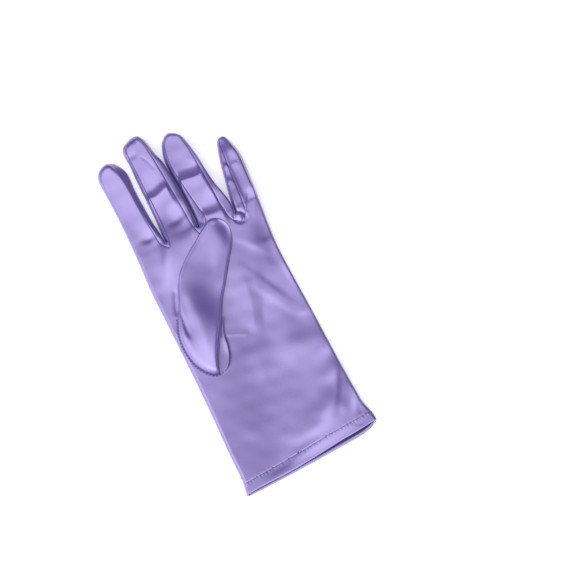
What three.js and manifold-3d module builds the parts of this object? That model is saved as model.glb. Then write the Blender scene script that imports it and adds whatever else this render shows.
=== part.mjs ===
// A left-hand dress glove in stretch satin, lying palm up with its thumb folded over the palm.
// Millimetres: +X towards the little finger, +Y towards the fingertips, +Z up off the surface.
// It is a flat hollow of cloth, open at the wrist: a palm with four finger fronts, a back, three
// fourchettes between the fingers, a thumb set into an oval hole in the palm, and a stitched hem
// round the opening.

import * as THREE from "three";
import { mergeVertices } from "three/addons/utils/BufferGeometryUtils.js";
import Module from "manifold-3d";

const wasm = await Module();
wasm.setup();

// Cloth
const CLOTH = 1.0; // wall of one layer
const HEM_CLOTH = 1.5; // wall of the turned and stitched hem
const SEAM_GAP = 0.3; // clearance between two pieces that are sewn together
const SIDE_SEAM_HEIGHT = 3.0; // where palm and back meet along the outer sides
const FINGER_ROOTS = 158; // how far up the fingers' front cloth starts

// Wrist opening
const HEM_DEPTH = 6.4; // cuff edge to hem stitching, along Y
const HEM_ROWS = 4; // rows of the hand's table that the hem's hollow spans
const CUFF_SLANT = 0.05; // rise of the cuff edge for each millimetre towards the little finger
const CUFF_LOW_X = -46.4; // the cuff edge's lowest point, at the index side

// Thumb
const PALM_TOP = 8.0; // the level that the folded thumb lies on
const THUMB_LEAN = -26.3; // degrees about Z from +Y
const THUMB_LIFT = PALM_TOP + SEAM_GAP;
const THUMB_HOLE = { along: 24, across: -66.2, halfLength: 16.5, halfWidth: 9.0 };
const THUMB_BASE = 50.2; // from the zero of the thumb's frame to its foot
const SOLID_BASE_ROWS = 2; // rows of the thumb's table, at its foot, that its hollow starts after

// A cross-section's half-round sides
const SIDE_BULGE = 1.15; // their width for each millimetre of half-height
const LEAST_TOP = 0.1; // cloth left flat between them where a tip is narrow

// Mesh fineness
const ARC_STEPS = 4; // per half-round side
const HOLE_STEPS = 28;
const HAND_ACROSS = 17; // divisions of the upper cloth from side to side
const FINGER_ACROSS = 5;
const THUMB_ACROSS = 7;
const STATION_SPACING = 7;
const SEAM_SPACING = 12; // along a fourchette's seam lines
const WELD = 1e-4; // points nearer than this are one

// Past the glove on every side, for the bodies that cut it
const BELOW = -2;
const ABOVE = 30;
const WIDE = 80;

// The hand at each distance up from the cuff: its two edges and its height.
const HAND = [
  { up: -8, left: -46.6, right: 40.6, height: 7.8 },
  { up: 0, left: -46.4, right: 40.5, height: 7.8 },
  { up: 10, left: -44.9, right: 40.1, height: 7.8 },
  { up: 20, left: -44.5, right: 38.2, height: 8.0 },
  { up: 45, left: -43.4, right: 37.9, height: 8.0 },
  { up: 80, left: -42.1, right: 38.3, height: 8.0 },
  { up: 110, left: -41.6, right: 38.7, height: 8.0 },
  { up: 134, left: -41.1, right: 39.8, height: 8.0 },
  { up: 146, left: -40.3, right: 41.4, height: 7.9 },
  { up: 151, left: -39.9, right: 42.1, height: 7.4 },
  { up: 153.5, left: -39.6, right: 42.4, height: 6.4 },
  { up: 154.6, left: -39.2, right: 42.0, height: 4.6 },
];

// Each finger in the same way, from inside the hand to its tip.
const FINGERS = {
  index: [
    { up: 140, left: -40.4, right: -20.2, height: 7.4 },
    { up: 155, left: -39.6, right: -19.7, height: 7.6 },
    { up: 166, left: -39.1, right: -20.5, height: 7.6 },
    { up: 190, left: -38.4, right: -21.1, height: 7.4 },
    { up: 205, left: -38.5, right: -20.9, height: 7.2 },
    { up: 213, left: -38.6, right: -21.0, height: 7.0 },
    { up: 217, left: -37.0, right: -23.1, height: 6.2 },
    { up: 219.6, left: -34.6, right: -25.3, height: 5.0 },
    { up: 221, left: -32.0, right: -28.2, height: 3.6 },
  ],
  middle: [
    { up: 140, left: -19.9, right: 0.8, height: 7.4 },
    { up: 155, left: -19.6, right: 1.3, height: 7.6 },
    { up: 166, left: -18.8, right: 1.9, height: 7.6 },
    { up: 186, left: -18.3, right: 1.9, height: 7.4 },
    { up: 204, left: -17.8, right: 1.6, height: 7.2 },
    { up: 215, left: -17.2, right: -0.1, height: 7.0 },
    { up: 222, left: -17.2, right: -1.3, height: 6.6 },
    { up: 226.5, left: -15.8, right: -2.8, height: 5.8 },
    { up: 229, left: -12.4, right: -4.6, height: 4.8 },
    { up: 229.9, left: -10.2, right: -6.6, height: 3.6 },
  ],
  ring: [
    { up: 140, left: 1.4, right: 25.4, height: 7.4 },
    { up: 153, left: 1.7, right: 25.8, height: 7.6 },
    { up: 162, left: 2.8, right: 26.3, height: 7.7 },
    { up: 175, left: 3.1, right: 23.9, height: 7.7 },
    { up: 190, left: 3.0, right: 22.6, height: 7.5 },
    { up: 204, left: 2.8, right: 21.9, height: 7.3 },
    { up: 212, left: 4.2, right: 20.7, height: 7.0 },
    { up: 217.5, left: 6.4, right: 18.6, height: 6.4 },
    { up: 220.6, left: 9.0, right: 15.8, height: 5.0 },
    { up: 221.8, left: 10.8, right: 14.0, height: 3.6 },
  ],
  little: [
    { up: 138, left: 24.6, right: 39.9, height: 7.4 },
    { up: 150, left: 25.4, right: 41.9, height: 7.6 },
    { up: 162, left: 27.0, right: 43.6, height: 7.6 },
    { up: 175, left: 29.3, right: 45.5, height: 7.4 },
    { up: 188, left: 32.4, right: 46.4, height: 7.0 },
    { up: 196, left: 34.7, right: 45.4, height: 6.4 },
    { up: 201, left: 36.9, right: 44.1, height: 5.6 },
    { up: 204.3, left: 38.9, right: 42.3, height: 3.6 },
  ],
};

// The seam lines on either side of each gap between fingers. A fourchette lies between them.
const FOURCHETTES = {
  fourchette_index_middle: [
    { up: 152.5, from: -20.0, to: -19.2 },
    { up: 157, from: -23.0, to: -17.4 },
    { up: 170, from: -24.2, to: -16.4 },
    { up: 205, from: -24.8, to: -15.6 },
    { up: 224, from: -26.6, to: -14.8 },
    { up: 233, from: -27.0, to: -11.0 },
  ],
  fourchette_middle_ring: [
    { up: 151.5, from: 0.4, to: 2.4 },
    { up: 158, from: -1.2, to: 7.4 },
    { up: 170, from: -1.7, to: 6.7 },
    { up: 187, from: -2.2, to: 5.2 },
    { up: 204, from: -2.7, to: 4.9 },
    { up: 221, from: -4.2, to: 8.4 },
    { up: 233, from: -7.4, to: 11.0 },
  ],
  fourchette_ring_little: [
    { up: 147.5, from: 25.2, to: 26.6 },
    { up: 152, from: 21.2, to: 31.0 },
    { up: 160, from: 19.9, to: 32.6 },
    { up: 175, from: 19.5, to: 34.4 },
    { up: 195, from: 19.2, to: 37.0 },
    { up: 212, from: 18.4, to: 39.9 },
    { up: 226, from: 14.6, to: 41.0 },
  ],
};

// Each finger's front, between lines that run up the middle of the gaps beside it.
const FINGER_FRONTS = [
  { name: "index_front", from: -WIDE, to: -20.3 },
  { name: "middle_front", from: -20.3, to: 2.4 },
  { name: "ring_front", from: 2.4, to: 26.3 },
  { name: "little_front", from: 26.3, to: WIDE },
];

// The thumb along its lean, in its own frame: its two edges and its rise above the palm.
const THUMB = [
  { up: 50.2, left: -60.0, right: -55.0, height: 2.0 },
  { up: 51.4, left: -64.5, right: -53.4, height: 3.0 },
  { up: 55, left: -69.5, right: -52.2, height: 4.6 },
  { up: 62, left: -74.8, right: -51.6, height: 6.2 },
  { up: 72, left: -79.2, right: -53.4, height: 7.0 },
  { up: 83, left: -80.6, right: -54.2, height: 7.0 },
  { up: 94, left: -80.8, right: -53.6, height: 7.0 },
  { up: 105, left: -80.6, right: -51.9, height: 7.0 },
  { up: 111, left: -79.3, right: -51.0, height: 7.0 },
  { up: 121, left: -74.9, right: -49.3, height: 6.8 },
  { up: 134, left: -67.9, right: -47.7, height: 6.4 },
  { up: 140, left: -64.4, right: -49.0, height: 5.6 },
  { up: 143.6, left: -61.6, right: -51.4, height: 4.4 },
  { up: 144.8, left: -59.0, right: -54.4, height: 3.0 },
];

// Ridges and furrows in the upper cloth, each a line with a half-width and a lift.
const PALM_FOLDS = [
  { x1: 6, y1: 130, x2: 33, y2: 84, halfWidth: 5.0, lift: -0.8 },
  { x1: 16, y1: 138, x2: 37, y2: 98, halfWidth: 4.4, lift: 0.5 },
  { x1: 6, y1: 116, x2: 34, y2: 74, halfWidth: 4.8, lift: 0.7 },
  { x1: 35, y1: 66, x2: 36, y2: 42, halfWidth: 4.8, lift: 0.6 },
  { x1: 31, y1: 28, x2: 25, y2: 14, halfWidth: 4.8, lift: -0.6 },
  { x1: -30, y1: 158, x2: -23, y2: 160, halfWidth: 3.6, lift: -0.6 },
  { x1: -16, y1: 190, x2: -5, y2: 192, halfWidth: 4.0, lift: -0.6 },
  { x1: -14, y1: 169, x2: -6, y2: 167, halfWidth: 4.0, lift: -0.6 },
  { x1: 8, y1: 192, x2: 18, y2: 190, halfWidth: 4.0, lift: -0.7 },
  { x1: 9, y1: 166, x2: 17, y2: 163, halfWidth: 4.0, lift: -0.6 },
  { x1: -30, y1: 40, x2: 10, y2: 52, halfWidth: 7.0, lift: 0.4 },
];

// The same on the thumb, in the thumb's frame.
const THUMB_FOLDS = [
  { x1: -70.5, y1: 107, x2: -62, y2: 77, halfWidth: 5.0, lift: -0.7 },
  { x1: -74, y1: 96, x2: -70, y2: 70, halfWidth: 3.6, lift: 0.4 },
];

const materials = {
  satin: new THREE.MeshStandardMaterial({ color: 0x9c8ed2, roughness: 0.36, metalness: 0.25 }),
  gusset: new THREE.MeshStandardMaterial({ color: 0x9386c8, roughness: 0.4, metalness: 0.22 }),
  hem: new THREE.MeshStandardMaterial({ color: 0x9588cb, roughness: 0.42, metalness: 0.2 }),
};

// A table's row at any distance up, with each column on a smooth curve through its values.
function rowAt(rows, up) {
  const last = rows.length - 1;
  let k = rows.findIndex((row, i) => i < last && up <= rows[i + 1].up);
  if (k < 0) k = last - 1;
  const [a, b] = [rows[k], rows[k + 1]];
  const [before, after] = [rows[Math.max(k - 1, 0)], rows[Math.min(k + 2, last)]];
  const span = b.up - a.up;
  const t = Math.min(Math.max((up - a.up) / span, 0), 1);
  const made = { up };
  for (const column of Object.keys(a).filter((name) => name !== "up")) {
    const slopeA = ((b[column] - before[column]) / (b.up - before.up)) * span;
    const slopeB = ((after[column] - a[column]) / (after.up - a.up)) * span;
    made[column] =
      a[column] * (1 + 2 * t) * (1 - t) ** 2 +
      slopeA * t * (1 - t) ** 2 +
      b[column] * t * t * (3 - 2 * t) +
      slopeB * t * t * (t - 1);
  }
  return made;
}

// The table's own rows, and as many between them as keep the spacing.
function stations(rows, spacing = STATION_SPACING) {
  const made = [];
  rows.slice(0, -1).forEach((row, k) => {
    const steps = Math.ceil((rows[k + 1].up - row.up) / spacing);
    for (let i = 0; i < steps; i++) {
      made.push(rowAt(rows, row.up + ((rows[k + 1].up - row.up) * i) / steps));
    }
  });
  made.push({ ...rows[rows.length - 1] });
  return made;
}

// The lift of the upper cloth at a point, from every fold of a table.
function foldLift(folds, x, y) {
  return folds.reduce((sum, { x1, y1, x2, y2, halfWidth, lift }) => {
    const [dx, dy] = [x2 - x1, y2 - y1];
    const t = Math.min(Math.max(((x - x1) * dx + (y - y1) * dy) / (dx * dx + dy * dy), 0), 1);
    const away = Math.hypot(x - x1 - t * dx, y - y1 - t * dy) / halfWidth;
    return sum + lift * Math.exp(-away * away);
  }, 0);
}

// One cross-section in the XZ plane: flat below, half-round sides, and cloth across the top.
// The inset moves every wall inwards, which gives the hollow.
function section({ up, left, right, height }, inset, across, folds) {
  const [low, high] = [inset, height - inset];
  const [l, r] = [left + inset, right - inset];
  const half = (high - low) / 2;
  const side = Math.min(half * SIDE_BULGE, (r - l - LEAST_TOP) / 2);
  const points = [];
  for (let i = 0; i <= ARC_STEPS; i++) {
    const a = -Math.PI / 2 + (Math.PI * i) / ARC_STEPS;
    points.push([r - side + side * Math.cos(a), low + half + half * Math.sin(a)]);
  }
  for (let i = 1; i < across; i++) {
    const t = i / across;
    const x = r - side + (l - r + 2 * side) * t;
    points.push([x, high + foldLift(folds, x, up) * Math.sqrt(Math.sin(Math.PI * t))]);
  }
  for (let i = 0; i <= ARC_STEPS; i++) {
    const a = Math.PI / 2 + (Math.PI * i) / ARC_STEPS;
    points.push([l + side + side * Math.cos(a), low + half + half * Math.sin(a)]);
  }
  return points.map(([x, z]) => new THREE.Vector3(x, up, z));
}

// A closed solid through sections with equal numbers of points.
function loft(sections) {
  const n = sections[0].length;
  const position = sections.flat().flatMap((p) => p.toArray());
  const faces = [];
  for (let s = 0; s < sections.length - 1; s++) {
    for (let i = 0; i < n; i++) {
      const [a, b] = [s * n + i, s * n + ((i + 1) % n)];
      faces.push([a, a + n, b + n], [a, b + n, b]);
    }
  }
  const cap = (points) =>
    THREE.ShapeUtils.triangulateShape(points.map((p) => new THREE.Vector2(p.x, p.z)), []);
  const end = (sections.length - 1) * n;
  cap(sections[0]).forEach((f) => faces.push(f));
  cap(sections[sections.length - 1]).forEach(([a, b, c]) => faces.push([end + c, end + b, end + a]));
  return solid(position, faces.flat());
}

function solid(position, index) {
  return new wasm.Manifold(
    new wasm.Mesh({
      numProp: 3,
      vertProperties: Float32Array.from(position),
      triVerts: Uint32Array.from(index),
    }),
  );
}

// An upright prism over an outline, from one height to another.
function prism(outline, low, high) {
  const shape = new THREE.Shape(outline.map(([x, y]) => new THREE.Vector2(x, y)));
  const extruded = new THREE.ExtrudeGeometry(shape, { depth: high - low, bevelEnabled: false });
  extruded.deleteAttribute("normal");
  extruded.deleteAttribute("uv");
  extruded.translate(0, 0, low);
  const merged = mergeVertices(extruded, WELD);
  return solid(merged.attributes.position.array, merged.index.array);
}

// A slab between two lines that run with the cuff edge, given by their distances up from it.
function cuffSlab(from, to) {
  const edge = (x, offset) => (x - CUFF_LOW_X) * CUFF_SLANT + offset;
  return prism(
    [
      [-WIDE, edge(-WIDE, from)],
      [WIDE, edge(WIDE, from)],
      [WIDE, edge(WIDE, to)],
      [-WIDE, edge(-WIDE, to)],
    ],
    BELOW,
    ABOVE,
  );
}

// A block over a rectangle, through the whole height or from one level to another.
function block(fromX, toX, fromY, toY, low = BELOW, high = ABOVE) {
  return prism([[fromX, fromY], [toX, fromY], [toX, toY], [fromX, toY]], low, high);
}

function slab(low, high) {
  return block(-WIDE, WIDE, -WIDE, 3 * WIDE, low, high);
}

// The region between a fourchette's two seam lines, wider or narrower by an offset each side.
function seamRegion(rows, offset) {
  const lines = stations(rows, SEAM_SPACING);
  const low = { ...lines[0], up: lines[0].up - offset };
  const all = [low, ...lines.slice(1)];
  const rightSide = all.map(({ up, to }) => [to + offset, up]);
  const leftSide = all.map(({ up, from }) => [from - offset, up]).reverse();
  return prism([...rightSide, ...leftSide], BELOW, ABOVE);
}

// The oval hole in the palm that the thumb is sewn to, in the thumb's frame.
function holeOutline() {
  const { along, across, halfLength, halfWidth } = THUMB_HOLE;
  return Array.from({ length: HOLE_STEPS }, (_, i) => {
    const a = (2 * Math.PI * i) / HOLE_STEPS;
    return [across + halfWidth * Math.cos(a), THUMB_BASE + along + halfLength * Math.sin(a)];
  });
}

function toHand([x, y]) {
  const lean = THREE.MathUtils.degToRad(THUMB_LEAN);
  return [x * Math.cos(lean) - y * Math.sin(lean), x * Math.sin(lean) + y * Math.cos(lean)];
}

// The hand and fingers as one flat form, whole or inset for the hollow.
function handForm(inset) {
  const shift = (rows) => rows.map((row) => ({ ...row, up: row.up - inset }));
  const form = (rows, across) =>
    loft(stations(shift(rows)).map((row) => section(row, inset, across, PALM_FOLDS)));
  return Object.values(FINGERS).reduce(
    (sum, rows) => sum.add(form(rows, FINGER_ACROSS)),
    form(HAND, HAND_ACROSS),
  );
}

function thumbSolid() {
  const lastUp = THUMB[THUMB.length - 1].up;
  const inner = THUMB.slice(SOLID_BASE_ROWS).map((row) => ({
    ...row,
    up: Math.min(row.up, lastUp - CLOTH),
  }));
  const innerRows = inner.filter((row, i) => i === 0 || row.up > inner[i - 1].up);
  const form = (rows, inset) =>
    loft(stations(rows).map((row) => section(row, inset, THUMB_ACROSS, THUMB_FOLDS)));
  const floorHole = prism(holeOutline(), BELOW, 1.5 * CLOTH);
  return form(THUMB, 0).subtract(form(innerRows, CLOTH)).subtract(floorHole);
}

// The largest body of a cut, without the slivers that its edges may leave.
function mesh(name, made, material) {
  const [largest] = made.decompose().sort((a, b) => b.volume() - a.volume());
  const { vertProperties, triVerts } = largest.getMesh();
  const geometry = new THREE.BufferGeometry();
  geometry.setAttribute("position", new THREE.BufferAttribute(vertProperties, 3));
  geometry.setIndex(new THREE.BufferAttribute(triVerts, 1));
  geometry.computeVertexNormals();
  const piece = new THREE.Mesh(geometry, material);
  piece.name = name;
  return piece;
}

const outer = handForm(0);
const shell = outer.subtract(handForm(CLOTH));
const hemHollow = stations(HAND.slice(0, HEM_ROWS)).map((row) =>
  section(row, HEM_CLOTH, HAND_ACROSS, PALM_FOLDS),
);
const hem = outer.subtract(loft(hemHollow)).intersect(cuffSlab(0, HEM_DEPTH));
const panels = shell.intersect(cuffSlab(HEM_DEPTH + SEAM_GAP, 4 * WIDE));
const seams = Object.values(FOURCHETTES)
  .map((rows) => seamRegion(rows, SEAM_GAP / 2))
  .reduce((sum, region) => sum.add(region));
const thumbHole = prism(holeOutline().map(toHand), SIDE_SEAM_HEIGHT, ABOVE);

const front = panels.intersect(slab(SIDE_SEAM_HEIGHT + SEAM_GAP / 2, ABOVE)).subtract(seams);
const palm = front
  .intersect(block(-WIDE, WIDE, -WIDE, FINGER_ROOTS - SEAM_GAP / 2))
  .subtract(thumbHole);
const back = panels.intersect(slab(BELOW, SIDE_SEAM_HEIGHT - SEAM_GAP / 2)).subtract(seams);

const glove = new THREE.Group();
glove.add(mesh("palm_panel", palm, materials.satin));
for (const { name, from, to } of FINGER_FRONTS) {
  const above = block(from, to, FINGER_ROOTS + SEAM_GAP / 2, 3 * WIDE);
  glove.add(mesh(name, front.intersect(above), materials.satin));
}
glove.add(mesh("back_panel", back, materials.satin));
for (const [name, rows] of Object.entries(FOURCHETTES)) {
  glove.add(mesh(name, shell.intersect(seamRegion(rows, -SEAM_GAP / 2)), materials.gusset));
}
glove.add(mesh("cuff_hem", hem, materials.hem));

const thumb = mesh("thumb", thumbSolid(), materials.satin);
thumb.rotation.z = THREE.MathUtils.degToRad(THUMB_LEAN);
thumb.position.z = THUMB_LIFT;
glove.add(thumb);

// The origin is at the middle of the glove's footprint, on the surface that it lies on.
const extent = new THREE.Box3().setFromObject(glove, true);
const middle = extent.getCenter(new THREE.Vector3());
glove.position.set(-middle.x, -middle.y, 0);

const root = new THREE.Group();
root.add(glove);

export default root;
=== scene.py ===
"""A left-hand satin dress glove, lying palm up with its thumb folded over the palm.

Working sizes are millimetres in the glove's own measure: x across, towards the little finger,
and up from the cuff's lowest point to the fingertips. to_frame() turns them into the frame.
"""
import math

import bpy
import numpy as np
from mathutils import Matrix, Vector
from mathutils.geometry import delaunay_2d_cdt


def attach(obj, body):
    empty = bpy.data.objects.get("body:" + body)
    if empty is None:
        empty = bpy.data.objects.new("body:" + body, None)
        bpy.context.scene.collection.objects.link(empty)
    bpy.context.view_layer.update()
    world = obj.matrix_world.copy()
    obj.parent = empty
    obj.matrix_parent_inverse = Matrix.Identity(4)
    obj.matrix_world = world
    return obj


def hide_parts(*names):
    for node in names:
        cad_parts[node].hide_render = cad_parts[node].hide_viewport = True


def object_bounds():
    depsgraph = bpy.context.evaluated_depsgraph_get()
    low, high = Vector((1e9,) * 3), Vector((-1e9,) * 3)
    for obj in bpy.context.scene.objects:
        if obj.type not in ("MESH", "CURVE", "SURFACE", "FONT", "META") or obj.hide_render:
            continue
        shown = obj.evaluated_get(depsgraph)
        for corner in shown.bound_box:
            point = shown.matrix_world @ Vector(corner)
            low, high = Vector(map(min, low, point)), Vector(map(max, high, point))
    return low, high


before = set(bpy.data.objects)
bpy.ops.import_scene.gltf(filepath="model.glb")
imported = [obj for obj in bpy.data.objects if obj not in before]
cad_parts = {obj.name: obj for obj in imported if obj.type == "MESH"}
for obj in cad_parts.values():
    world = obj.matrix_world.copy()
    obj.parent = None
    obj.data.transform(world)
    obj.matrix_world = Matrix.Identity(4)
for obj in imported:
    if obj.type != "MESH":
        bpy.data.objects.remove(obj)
cad_box = [list(corner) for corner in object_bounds()]

MM = 0.001
CUFF_Y = cad_box[0][1]  # the frame's Y at the cuff's lowest point

# Heights above the table
PALM_LEVEL = 7.2
FINGER_LEVEL = 5.8
SIDE_LEVEL = 2.6  # the turn of the cloth at the glove's sides
BACK_LEVEL = 0.05
FINGER_START = 157  # how far up the fingers' own folds start
LEVEL_CHANGE = (152, 186)  # how far up the palm's level passes into the fingers'
CLOTH = 0.45  # one layer
THUMB_GAP = 0.3  # the folded thumb's height over the palm
THUMB_PRESS = 0.4  # how far the thumb presses the palm below its plain level

# Mesh fineness
STEP = 0.8  # along outlines and seams
GRAIN = 0.95  # between points inside a piece
THUMB_GRAIN = 1.0
ROW_PITCH = 0.866  # from one row of even triangles to the next, for each millimetre of grain
EDGE_ROWS = (0.1, 0.3, 0.6, 1.0, 1.5, 2.1, 2.9)  # rows of points in from a piece's edge
SEAM_ROWS = (0.35, 0.8, 1.4)  # rows of points off a seam, on both sides

# The glove's edge seen from above, from cuff to crotch to crotch to cuff: x and up.
INDEX_SIDE = [
    (-47.6, -12), (-46.4, 0), (-44.9, 8.1), (-44.3, 26.7), (-43.2, 48.3), (-42.4, 69.5),
    (-41.6, 109.2), (-41.2, 133.9), (-39.3, 162.2), (-38.4, 189), (-38.5, 205), (-38.5, 213.5),
    (-36.8, 217.7), (-32.9, 220.5), (-28.4, 221), (-25.2, 219.6), (-22.6, 216), (-20.7, 210.6),
    (-21.1, 198), (-21.1, 184), (-20.7, 173), (-20.1, 167), (-19.8, 161), (-19.6, 157.4),
]
MIDDLE_SIDE = [
    (-19.6, 157.4), (-19.7, 161), (-19.5, 167), (-18.9, 173), (-18.3, 188), (-17.8, 204), (-17.2, 214),
    (-17.4, 221.4), (-16.1, 226), (-12.8, 228.4), (-8.6, 229.8), (-4.6, 229.2), (-1.8, 224.8),
    (-0.5, 218.7), (0.4, 211.5), (1.9, 206), (2.4, 200), (2.6, 184), (2.6, 170), (2.2, 161),
    (1.6, 156.6),
]
RING_SIDE = [
    (1.6, 156.6), (2.32, 161.5), (2.74, 170.9), (2.76, 186), (2.6, 200), (3.1, 207.5), (4.3, 212.4),
    (6.6, 217.7), (10.0, 221.1), (12.9, 221.8), (15.9, 220.1), (18.5, 217.5), (20.2, 214.2),
    (21.2, 208), (22.2, 198), (22.7, 187), (23.6, 176), (25.2, 168.4), (26.2, 162),
    (26.0, 158), (25.6, 154.4),
]
LITTLE_SIDE = [
    (25.6, 154.4), (26.2, 158), (26.6, 162), (28.4, 171), (31.2, 183.0), (33.3, 191.5),
    (35.7, 199.2), (37.6, 203.4), (40.4, 204.5), (43, 203.6), (44.3, 200.6), (45.6, 195),
    (46.4, 188), (45.9, 179.5), (44.6, 169.5), (42.9, 156.5), (40.7, 140.8), (39.1, 126),
    (38.6, 110.7), (38.3, 79.3), (37.9, 45.2), (37.9, 29.6), (38.3, 17), (39.9, 10.5),
    (40.4, 4.4), (40.8, -12),
]

# Seam lines either side of each gap between fingers, with the fourchette between them.
FOURCHETTES = {
    "fourchette_index_middle": [
        {"up": 152.6, "left": -20.0, "right": -19.0},
        {"up": 157, "left": -23.0, "right": -17.6},
        {"up": 170, "left": -24.2, "right": -16.5},
        {"up": 205, "left": -24.8, "right": -15.7},
        {"up": 224, "left": -26.6, "right": -14.8},
        {"up": 233, "left": -27.0, "right": -11.0},
    ],
    "fourchette_middle_ring": [
        {"up": 151.6, "left": 0.2, "right": 1.6},
        {"up": 158, "left": -1.2, "right": 7.4},
        {"up": 170, "left": -1.7, "right": 6.7},
        {"up": 187, "left": -2.2, "right": 5.2},
        {"up": 204, "left": -2.7, "right": 4.9},
        {"up": 221, "left": -4.2, "right": 8.4},
        {"up": 233, "left": -7.4, "right": 11.0},
    ],
    "fourchette_ring_little": [
        {"up": 147.6, "left": 25.2, "right": 26.6},
        {"up": 152, "left": 21.2, "right": 31.0},
        {"up": 160, "left": 19.9, "right": 32.6},
        {"up": 175, "left": 19.5, "right": 34.4},
        {"up": 195, "left": 19.2, "right": 37.0},
        {"up": 212, "left": 18.4, "right": 39.9},
        {"up": 226, "left": 14.6, "right": 41.0},
    ],
}

# The hem
HEM_LINE = [(-50, 6.1), (-46, 6.3), (46, 10.9), (50, 11.1)]  # its stitching
CUFF_TOP = [(-47, 0.3), (-39, 0.9), (-19, 1.1), (-2, 2.0), (15, 3.4), (28, 4.1), (41, 5.2)]
CUFF_BACK = [(-47, 0.3), (-39, 0.1), (-10, 0.2), (19, 0.9), (30, 1.5), (36, 3.0), (41, 5.2)]
CUFF_LEVELS = [(-46, 6.9), (-30, 6.7), (-10, 6.3), (10, 5.9), (25, 5.7), (34, 5.7), (41, 5.1)]
HEM_DOUBLE = 1.05  # its two layers together
HEM_RINGS = (0.0, 0.05, 0.12, 0.22, 0.35, 0.5, 0.65, 0.8, 0.9, 0.97)  # stitching 0, cuff edge 1
HEM_INNER_RINGS = (0.97, 0.86, 0.5, 0.2, -0.15)
ROLL_ANGLES = (30, 60, 90, 120, 150)
STITCH_RUN = 92.0  # the length that the gathers along the stitching are counted on
GATHER = 0.05
GATHER_WIDTH = 1.6

# The share of its full level that the palm has reached at each distance up.
PALM_RISE = [(-9, -0.1), (0, 0.0), (9, 0.2), (24, 0.25), (52, 0.2), (84, 0.6), (116, 1.0), (240, 1.0)]
RISE_DRAWN = 20  # millimetres for a whole share, so that the rise is smooth as a drawn line

# How far in the cloth is rounded, at points (x, up) along the glove's edge, in its order.
ROUNDING = [
    {"at": (-46, 2), "reach": 1.4}, {"at": (-42, 100), "reach": 1.4}, {"at": (-39, 170), "reach": 1.4},
    {"at": (-38.5, 208), "reach": 2.0}, {"at": (-33, 220.5), "reach": 5}, {"at": (-24, 218), "reach": 8},
    {"at": (-21, 205), "reach": 4.8}, {"at": (-21, 178), "reach": 4.2}, {"at": (-19.8, 161), "reach": 2.0},
    {"at": (-19.5, 167), "reach": 1.2}, {"at": (-18, 190), "reach": 1.6}, {"at": (-17, 220), "reach": 1.8},
    {"at": (-9, 229.8), "reach": 8}, {"at": (-2, 225), "reach": 4.2}, {"at": (1.2, 208), "reach": 2.6},
    {"at": (2.6, 190), "reach": 2.0}, {"at": (2.2, 161), "reach": 1.6}, {"at": (2.7, 172), "reach": 1.8},
    {"at": (2.7, 196), "reach": 2.0}, {"at": (6, 217), "reach": 2.6}, {"at": (13, 221.8), "reach": 4.4},
    {"at": (20, 214), "reach": 3.0}, {"at": (22, 198), "reach": 1.6}, {"at": (26, 161), "reach": 1.3},
    {"at": (28, 170), "reach": 1.2}, {"at": (36, 200), "reach": 1.6}, {"at": (40.4, 204.5), "reach": 2.6},
    {"at": (45, 198), "reach": 3.0}, {"at": (45.5, 176), "reach": 3.4}, {"at": (42, 150), "reach": 1.8},
    {"at": (38.6, 110), "reach": 1.3}, {"at": (38, 40), "reach": 1.4}, {"at": (40.2, 6), "reach": 2.2},
]

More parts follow.
